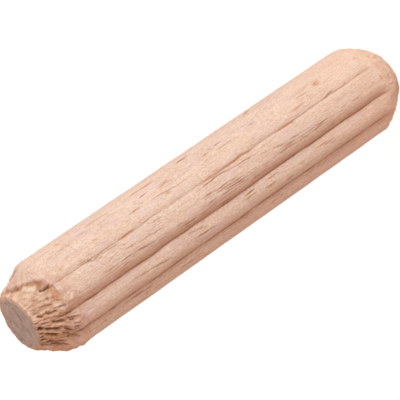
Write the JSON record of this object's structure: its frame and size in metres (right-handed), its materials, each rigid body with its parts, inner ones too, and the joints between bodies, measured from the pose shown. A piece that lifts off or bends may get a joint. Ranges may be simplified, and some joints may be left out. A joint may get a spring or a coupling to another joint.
{
  "type": "dowel pin",
  "caption": "Fluted wooden dowel pin with tapered ends, glued into matching holes to join and line up two boards.",
  "frame": {"origin": "centre of the pin, on its axis, halfway between the two sawn ends", "axes": "+Z along the pin, from the cleaner end, on which it stands, to the end with the torn taper; +X towards the flute that was pressed most lightly; +Y a quarter turn on from +X, anticlockwise as seen from the torn end"},
  "size_m": [0.0079, 0.008, 0.04],
  "materials": {
    "beech": "unfinished pressed beech, matt, with torn grain on one taper"
  },
  "bodies": {
    "root": {"dowel_pin": "beech"}
  },
  "joints": []
}
